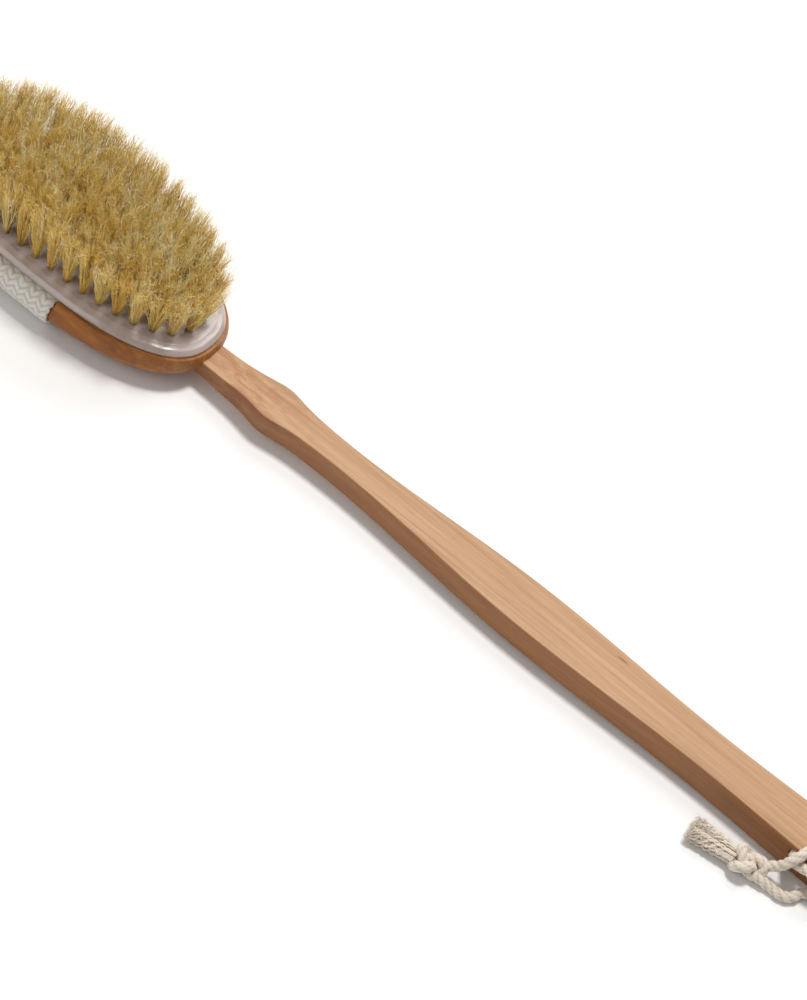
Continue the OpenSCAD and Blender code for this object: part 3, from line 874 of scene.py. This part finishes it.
def handle_width(x):
    """The handle's width: neck, thin part, grip, waist and end, with a bump near the head."""
    xs, widths = (NECK_X, THIN_X, GRIP_X, WAIST_X, END_X), (NECK_W, THIN_W, GRIP_W, WAIST_W, END_W)
    base = NECK_W
    for x0, x1, w0, w1 in zip(xs, xs[1:], widths, widths[1:]):
        base = np.where(x < x0, base, ease(x, x0, x1, w0, w1))
    wide = base + BUMP_W / (1 + ((x - BUMP_X) / BUMP_REACH) ** 2)
    return np.where(x <= NECK_X, TONGUE_W, wide)


def handle_top(x):
    """The height of the handle's top: it rises to the shoulder and falls slowly to the end."""
    fall = SHOULDER_Z + (TAIL_Z - SHOULDER_Z) * (x - SHOULDER_X) / (HANDLE_REACH / MM - SHOULDER_X)
    return np.where(x < SHOULDER_X, ease(x, NECK_X + 2, SHOULDER_X, TONGUE_Z, SHOULDER_Z), fall)


def handle_ring(x, narrow=1.0, flat=0.0):
    """A rounded rectangle across the handle."""
    steps = 8
    w = narrow * float(handle_width(x)) / 2
    high = float(handle_top(x)) - flat
    low = float(handle_top(x)) - float(np.interp(x, THICK_X, THICK)) + flat
    r = min(EDGE_R, w * 0.9, (high - low) * 0.45)
    turn = np.radians([90 * (q + i / steps) for q in range(4) for i in range(steps + 1)])
    side_y = np.repeat([1, -1, -1, 1], steps + 1) * (w - r)
    side_z = np.repeat([1, 1, -1, -1], steps + 1) * ((high - low) / 2 - r)
    y = side_y + r * np.cos(turn)
    z = (low + high) / 2 + side_z + r * np.sin(turn)
    return np.column_stack([np.full(len(y), HEAD_X / MM + x), y, z]) * MM


def make_handle(material):
    """The handle with its tongue, its rounded end and the hole for the cord."""
    body = [NECK_X - TONGUE_LEN, NECK_X, *np.arange(NECK_X + BODY_STEP, END_X, BODY_STEP)]
    rings = [handle_ring(x) for x in body]
    for i in range(1, END_STEPS + 1):
        turn = math.radians(END_ARC * i / END_STEPS)
        along = (HANDLE_REACH / MM - END_X) * math.sin(turn) / math.sin(math.radians(END_ARC))
        rings.append(handle_ring(END_X + along, math.cos(turn) ** 0.8, END_DROP * (i / END_STEPS) ** 3))
    handle = loft("long_handle", rings)
    turn = np.linspace(0, 2 * np.pi, 48, endpoint=False)
    hole = [np.column_stack([HEAD_X / MM + HOLE_X + HOLE_R * np.cos(turn), np.full(48, y),
                             HOLE_Z + HOLE_R * np.sin(turn)]) * MM for y in (-20, 20)]
    cut(handle, [loft("cutter", np.array(hole)[:, ::-1])])
    place(handle, "handle", "handle_wood", material, "handle")


# ---------------------------------------------------------------- the whole brush

def main():
    make_camera()
    # The last colour of each cotton material is painted shade for its hollows.
    cotton = cotton_material("cord_cotton", (0.85, 0.76, 0.655), (0.66, 0.565, 0.46), (0.42, 0.34, 0.26))
    make_cord(cotton)
    make_studio()
    make_floor()
    # The head's wood is set darker than the handle's: partly its varnish, partly painted shade for its shaded
    # sides.
    head_wood = wood_material(
        "varnished_wood_painted_shade", light=(0.46, 0.20, 0.045), middle=(0.34, 0.135, 0.026), dark=(0.22, 0.078, 0.014),
        blotch=(0.26, 0.09, 0.016), blotch_from=-0.14, blotch_to=-0.10, roughness=0.36,
        painted_side_shade=(0.88, 0.70, 0.27))
    handle_wood = wood_material(
        "pale_wood", light=(0.54, 0.325, 0.175), middle=(0.46, 0.26, 0.13), dark=(0.36, 0.185, 0.08),
        blotch=(0.36, 0.145, 0.06), blotch_from=-0.03, blotch_to=-0.07, roughness=0.46,
        painted_side_shade=(0.56, 0.365, 0.19), mark=MARK)
    rows = tuft_rows()
    make_wood_block(head_wood)
    make_plate(plate_material(), rows)
    make_bristles(bristle_material(), rows)
    make_strap(cotton_material("strap_elastic", (0.84, 0.80, 0.73), (0.68, 0.65, 0.59), (0.46, 0.43, 0.38)))
    make_handle(handle_wood)
    metal = metal_material()
    for node in ("tuft_anchors", "strap_tacks"):
        paint(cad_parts[node], metal)
    paint(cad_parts["plate_pins"], pin_material())


main()
